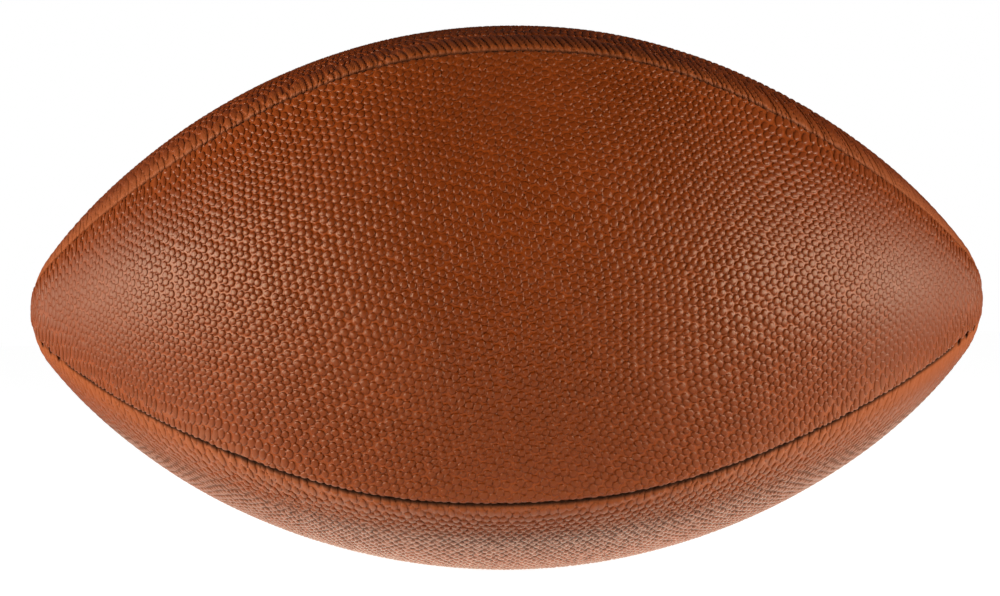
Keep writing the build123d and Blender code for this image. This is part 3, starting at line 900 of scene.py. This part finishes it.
def lace(material):
    """The lace: bars across the seam over two strands along it."""
    skews = np.random.default_rng(BAR_SEED).uniform(-BAR_SKEW, BAR_SKEW, LACE_BARS)
    strips = [lace_bar(place, skew) for place, skew in zip(bar_places(), skews)]
    strips += [lace_strand(-STRAND_ASIDE), lace_strand(STRAND_ASIDE)]
    faces = []
    count = 0
    for rings, along, aside in strips:
        faces.append(tube_faces(*along.shape) + count)
        count += along.size
    points = np.concatenate([rings.reshape(-1, 3) for rings, along, aside in strips])
    points = settle(turn_about_axis(points, -(PANEL_TILT + LACE_SEAM)))
    shares = {"along": np.concatenate([along.ravel() for rings, along, aside in strips]),
              "aside": np.concatenate([aside.ravel() for rings, along, aside in strips])}
    piece = mesh_piece("lace_strip", points, np.concatenate(faces), material, shares)
    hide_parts("lace")


# Pieces that keep their solids
def dress(material, *names):
    """Give the solids of some nodes a better material."""
    for name in names:
        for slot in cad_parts[name].material_slots:
            slot.material = material


# Studio
FLOOR_GAP = 0.0016
FLOOR_LEVEL = float(cad_box[0][2]) - FLOOR_GAP
FLOOR_HALF = 4.0
FLOOR_PALE = (0.9, 0.9, 0.9, 1)
FLOOR_ROUGH = 0.9
FLOOR_GLOW = 1.4
FLOOR_GLOW_SHARE = 0.7
ROOM_LEVEL = 0.035
WHITE = (1, 1, 1)
WARM = (1.0, 0.93, 0.74)
BOX_ASIDE = 0.95
BOX_FRONT = -0.31
BOX_HEIGHT = 0.12
BOX_SIZE = (1.1, 0.6)
LEFT_BOX_POWER = 14.5
RIGHT_BOX_POWER = 12.4
TABLE_LIFT = 0.0002
TABLE_LIGHTS = {"table_front": ((0, -0.33), (1.2, 0.46), 0.15, WHITE),
                "table_near": ((0, -0.0775), (0.4, 0.055), 0.015, WHITE),
                "table_back": ((0.02, 0.0745), (0.4, 0.255), 0.36, WARM)}


def floor_and_backdrop():
    """Pale floor under the ball, as white as the backdrop to the camera."""
    finish = Finish("studio_floor")
    glow = finish.node("ShaderNodeEmission", None, {"Color": (*WHITE, 1), "Strength": FLOOR_GLOW})
    seen = finish.node("ShaderNodeLightPath", output="Is Camera Ray")
    finish.wear(Base_Color=FLOOR_PALE, Roughness=FLOOR_ROUGH)
    pale = Value(finish, finish.shader.outputs[0])
    finish.show(finish.node("ShaderNodeMixShader", None, {0: seen * FLOOR_GLOW_SHARE, 1: pale, 2: glow}),
                "Material Output")
    mesh = bpy.data.meshes.new("floor")
    signs = [(-1, -1), (1, -1), (1, 1), (-1, 1)]
    corners = [(x * FLOOR_HALF, y * FLOOR_HALF, FLOOR_LEVEL) for x, y in signs]
    mesh.from_pydata(corners, [], [tuple(range(len(corners)))])
    mesh.materials.append(finish.material)
    floor = bpy.data.objects.new("floor", mesh)
    bpy.context.scene.collection.objects.link(floor)


def soft_light(name, place, target, size, power, colour):
    """Rectangular soft box that faces a point."""
    lamp = bpy.data.lights.new(name, "AREA")
    lamp.shape = "RECTANGLE"
    lamp.size, lamp.size_y = size
    lamp.energy = power
    lamp.color = colour
    holder = bpy.data.objects.new(name, lamp)
    holder.location = place
    holder.rotation_euler = (Vector(target) - Vector(place)).to_track_quat("-Z", "Y").to_euler()
    holder.visible_camera = False
    bpy.context.scene.collection.objects.link(holder)


def studio_light():
    """Soft boxes at both sides, a lit table round the ball and a dim room."""
    target = (0, 0, BOX_HEIGHT)
    soft_light("left_box", (-BOX_ASIDE, BOX_FRONT, BOX_HEIGHT), target, BOX_SIZE, LEFT_BOX_POWER, WHITE)
    soft_light("right_box", (BOX_ASIDE, BOX_FRONT, BOX_HEIGHT), target, BOX_SIZE, RIGHT_BOX_POWER, WHITE)
    for name, (middle, size, power, colour) in TABLE_LIGHTS.items():
        soft_light(name, (*middle, FLOOR_LEVEL + TABLE_LIFT), (*middle, 1), size, power, colour)
    world = bpy.data.worlds.new("studio")
    bpy.context.scene.world = world
    world.use_nodes = True
    nodes = Nodes(world.node_tree)
    room = nodes.node("ShaderNodeBackground", None, {"Color": (*WHITE, 1), "Strength": ROOM_LEVEL})
    white = nodes.node("ShaderNodeBackground", None, {"Color": (*WHITE, 1), "Strength": 1.0})
    seen = nodes.node("ShaderNodeLightPath", output="Is Camera Ray")
    nodes.show(nodes.node("ShaderNodeMixShader", None, {0: seen, 1: room, 2: white}), "World Output")


# Camera
CAMERA_DISTANCE = 695.0
CAMERA_ASIDE = 2.29
CAMERA_ABOVE = -0.456
CAMERA_YAW = 0.0144
CAMERA_ROLL = -0.0151
FOCAL_PIXELS = 2300.0
IMAGE_WIDTH = 1000
SENSOR = 36.0
NEAREST_SEEN = 0.01


def photo_camera():
    """Camera in front of the ball, level with it and turned a little."""
    yaw = Matrix.Rotation(CAMERA_YAW, 3, "Z")
    roll = Matrix.Rotation(CAMERA_ROLL, 3, "Y")
    turn = (roll @ yaw).transposed()
    place = turn @ Vector((-CAMERA_ASIDE, -CAMERA_DISTANCE, -CAMERA_ABOVE))
    right, ahead, up = (turn @ Vector(v) for v in ((1, 0, 0), (0, 1, 0), (0, 0, 1)))
    lens = bpy.data.cameras.new("photo_camera")
    lens.sensor_fit = "HORIZONTAL"
    lens.sensor_width = SENSOR
    lens.lens = FOCAL_PIXELS * SENSOR / IMAGE_WIDTH
    lens.clip_start = NEAREST_SEEN
    holder = bpy.data.objects.new("photo_camera", lens)
    axes = Matrix((right, up, -ahead)).transposed().to_4x4()
    holder.matrix_world = Matrix.Translation(place * MM) @ axes
    bpy.context.scene.collection.objects.link(holder)
    bpy.context.scene.camera = holder


# The ball in its studio
leather = pebbled_leather()
cotton = lining_cotton()
for panel in range(len(PANEL_NAMES)):
    leather_panel(panel, leather)
    lining(panel, cotton)
brown_strip = facing_leather()
for panel in LACED_EDGES:
    lace_facing(panel, brown_strip)
bladder(moulded_rubber("bladder_rubber", BLADDER_DARK, BLADDER_PALE, BLADDER_BLOOM_SCALE))
lace(lace_vinyl())
dress(waxed_thread(), "front_top_thread", "top_back_thread", "back_bottom_thread", "bottom_front_thread")
dress(brown_strip, "lace_tongue")
valve_rubber = moulded_rubber("valve_rubber", VALVE_DARK, VALVE_PALE, VALVE_BLOOM_SCALE)
dress(valve_rubber, "valve_housing", "valve_core")
floor_and_backdrop()
studio_light()
photo_camera()
bpy.context.scene.view_settings.view_transform = "Standard"
